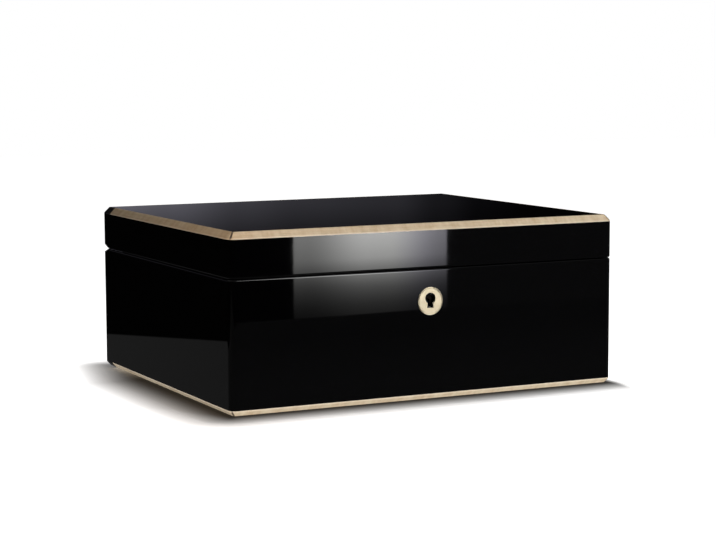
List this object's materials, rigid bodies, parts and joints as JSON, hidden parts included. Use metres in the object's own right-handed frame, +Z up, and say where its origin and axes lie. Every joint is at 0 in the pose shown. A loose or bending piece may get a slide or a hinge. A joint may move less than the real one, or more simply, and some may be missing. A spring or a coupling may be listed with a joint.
{
  "type": "humidor",
  "caption": "Tabletop humidor: glossy lacquered box with light wood edges, hinged lid, lock, cedar lining, lift-out tray, humidifier and hygrometer.",
  "frame": {"origin": "middle of the underside of the felt, on the surface that the box stands on", "axes": "+Z up, -Y towards the front with the keyhole, +X to the right as seen from the front"},
  "size_m": [0.38, 0.321, 0.156],
  "materials": {
    "black_lacquer": "polished black piano lacquer on board",
    "sycamore": "satin varnish on pale straight-grained wood",
    "cedar": "bare planed cedar",
    "felt": "flocked felt",
    "brass": "satin brushed",
    "lock_steel": "brushed",
    "needle_steel": "blued",
    "black_plastic": "fine moulded texture",
    "foam": "open floral foam",
    "dial_card": "printed matt card",
    "gauge_glass": "clear"
  },
  "bodies": {
    "box": {"base_panel": "black_lacquer", "body_front": "black_lacquer", "body_right": "black_lacquer", "body_back": "black_lacquer", "body_left": "black_lacquer", "base_edge_front": "sycamore", "base_edge_right": "sycamore", "base_edge_back": "sycamore", "base_edge_left": "sycamore", "base_felt": "felt", "cedar_front": "cedar", "cedar_right": "cedar", "cedar_back": "cedar", "cedar_left": "cedar", "cedar_floor": "cedar", "tray_rest_left": "cedar", "tray_rest_right": "cedar", "hinge_body_leaf_left": "brass", "hinge_body_leaf_right": "brass", "hinge_pin_left": "brass", "hinge_pin_right": "brass", "escutcheon": "brass", "lock_case": "lock_steel", "lock_cap": "lock_steel"},
    "lid": {"lid_top": "black_lacquer", "lid_rail_front": "black_lacquer", "lid_rail_right": "black_lacquer", "lid_rail_back": "black_lacquer", "lid_rail_left": "black_lacquer", "lid_edge_front": "sycamore", "lid_edge_right": "sycamore", "lid_edge_back": "sycamore", "lid_edge_left": "sycamore", "cedar_ceiling": "cedar", "lid_lining_front": "cedar", "lid_lining_right": "cedar", "lid_lining_back": "cedar", "lid_lining_left": "cedar", "hinge_lid_leaf_left": "brass", "hinge_lid_leaf_right": "brass", "link_plate": "brass", "magnet_keeper": "lock_steel", "hygrometer_case": "brass", "hygrometer_dial": "dial_card", "hygrometer_glass": "gauge_glass"},
    "key_cam": {"lock_cam": "brass"},
    "bolt": {"lock_bolt": "brass"},
    "tray": {"tray_front": "cedar", "tray_right": "cedar", "tray_back": "cedar", "tray_left": "cedar", "tray_floor": "cedar"},
    "tray_partition": {"tray_divider": "cedar"},
    "lower_partition": {"lower_divider": "cedar"},
    "humidifier": {"humidifier_case": "black_plastic", "humidifier_grille": "black_plastic", "humidifier_foam": "foam", "humidifier_magnet": "lock_steel"},
    "needle": {"hygrometer_needle": "needle_steel"}
  },
  "joints": [
    {"name": "lid_hinge", "type": "hinge", "parent": "box", "child": "lid", "pos_m": [0, 0.1582, 0.11635], "axis": [-1, 0, 0], "range_deg": [0, 100]},
    {"name": "key_turn", "type": "hinge", "parent": "box", "child": "key_cam", "pos_m": [0, -0.1545, 0.0875], "axis": [0, 1, 0], "range_deg": [0, 70]},
    {"name": "bolt_slide", "type": "slide", "parent": "box", "child": "bolt", "axis": [1, 0, 0], "range_m": [0, 0.00574]},
    {"name": "tray_lift", "type": "slide", "parent": "box", "child": "tray", "axis": [0, 0, 1], "range_m": [0, 0.02]},
    {"name": "tray_divider_slide", "type": "slide", "parent": "tray", "child": "tray_partition", "axis": [1, 0, 0], "range_m": [-0.2, 0.116]},
    {"name": "lower_divider_slide", "type": "slide", "parent": "box", "child": "lower_partition", "axis": [1, 0, 0], "range_m": [-0.12, 0.19]},
    {"name": "humidifier_pull", "type": "slide", "parent": "lid", "child": "humidifier", "axis": [0, 0, -1], "range_m": [0, 0.008]},
    {"name": "needle_turn", "type": "hinge", "parent": "lid", "child": "needle", "pos_m": [0.1025, 0, 0.137], "axis": [0, 0, 1], "range_deg": [-189, 81]}
  ],
  "couplings": [
    {"joint": "bolt_slide", "follows": "key_turn", "m_per_rad": 0.0046948}
  ]
}
